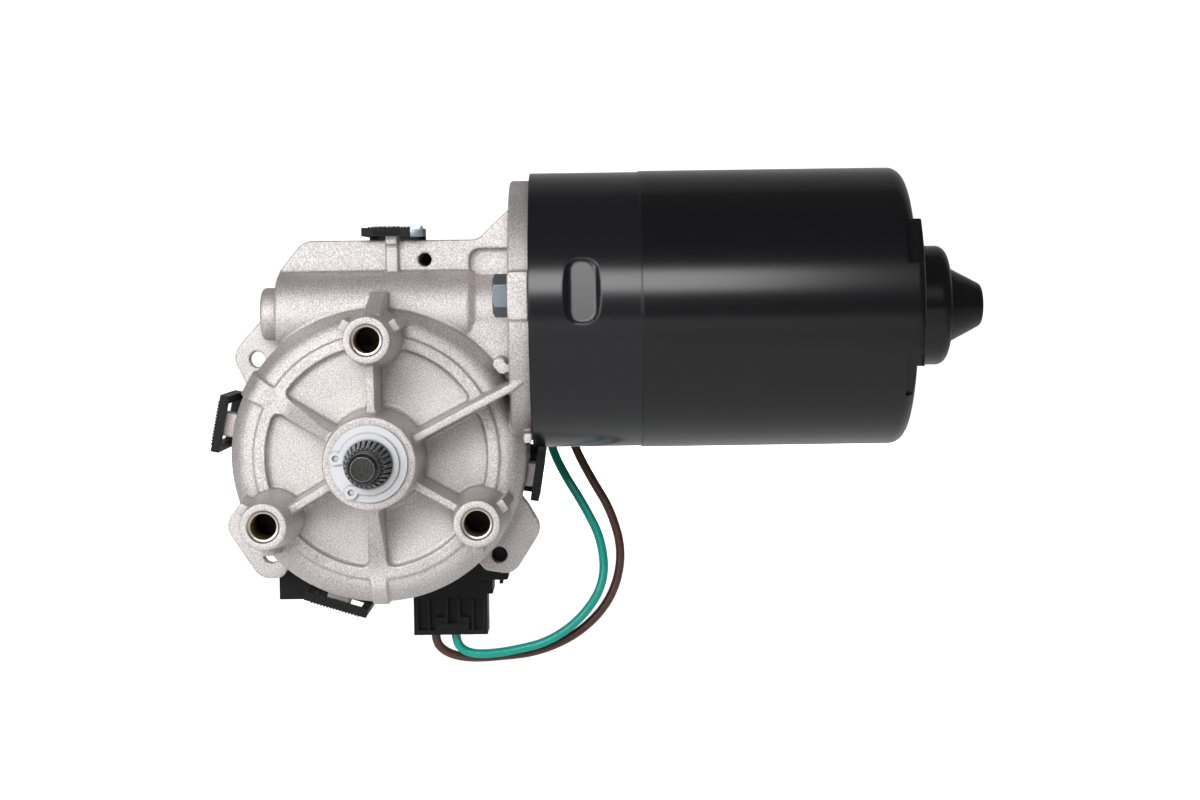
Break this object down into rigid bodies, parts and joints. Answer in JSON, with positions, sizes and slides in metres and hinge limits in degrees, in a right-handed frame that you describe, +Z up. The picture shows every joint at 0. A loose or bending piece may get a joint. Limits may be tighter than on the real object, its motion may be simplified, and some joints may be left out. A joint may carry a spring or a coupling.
{
  "type": "wiper motor",
  "caption": "Worm gear motor with a die-cast gear housing, tapped mounting bosses, a splined output stud, a round black can and a wired plug.",
  "frame": {"origin": "output shaft axis in the plane of the three mounting boss faces", "axes": "+X along the motor can, away from the gear housing; +Y from the boss faces into the housing; +Z up, from the output shaft towards the motor axis"},
  "size_m": [0.2153, 0.0916, 0.1424],
  "materials": {
    "cast_aluminium": "sand-blasted die casting, fine grain",
    "bronze": "oil-filled sintered bronze, satin",
    "dark_steel": "phosphated steel, dark satin",
    "zinc_steel": "zinc-plated steel, bright",
    "bright_steel": "ground steel",
    "gear_plastic": "moulded acetal, cream, satin",
    "contact_brass": "pressed brass sheet",
    "stack_steel": "varnished laminations",
    "copper": "enamelled copper",
    "black_paint": "black enamel, glossy behind, satin at the mouth",
    "ferrite": "sintered ferrite, matt",
    "spring_steel": "spring steel",
    "brown_plastic": "moulded phenolic, brown",
    "carbon": "pressed carbon, matt",
    "black_plastic": "moulded polyamide, charcoal",
    "rubber": "black rubber",
    "green_insulation": "teal green wire insulation",
    "brown_insulation": "dark brown wire insulation"
  },
  "bodies": {
    "motor": {"gear_housing": "cast_aluminium", "output_bush": "bronze", "worm_bush": "bronze", "thrust_ball": "bright_steel", "thrust_screw": "zinc_steel", "bearing_outer": "bright_steel", "bearing_balls": "bright_steel", "bearing_clip": "spring_steel", "rear_bush": "bronze", "bush_clip": "spring_steel", "motor_can": "black_paint", "can_bolts": "zinc_steel", "can_nuts": "zinc_steel", "field_magnets": "ferrite", "magnet_springs": "spring_steel", "brush_plate": "brown_plastic", "carbon_brushes": "carbon", "brush_springs": "spring_steel", "rear_cover": "black_plastic", "cover_seal": "rubber", "park_contacts": "contact_brass", "terminal_blades": "contact_brass", "wire_plug": "black_plastic", "wire_grommet": "rubber", "wire_green": "green_insulation", "wire_brown": "brown_insulation"},
    "output": {"output_shaft": "dark_steel", "circlip": "zinc_steel", "thrust_washer": "zinc_steel", "shim_washer": "zinc_steel", "drive_gear": "gear_plastic", "park_disc": "contact_brass"},
    "armature": {"armature_shaft": "bright_steel", "armature_core": "stack_steel", "armature_windings": "copper", "commutator": "copper", "bearing_inner": "bright_steel"}
  },
  "joints": [
    {"name": "armature_spin", "type": "hinge", "parent": "motor", "child": "armature", "pos_m": [0, 0.038, 0.039], "axis": [1, 0, 0], "continuous": true},
    {"name": "output_spin", "type": "hinge", "parent": "motor", "child": "output", "pos_m": [0, 0, 0], "axis": [0, 1, 0], "continuous": true}
  ],
  "couplings": [
    {"joint": "output_spin", "follows": "armature_spin", "ratio": -0.014706}
  ]
}
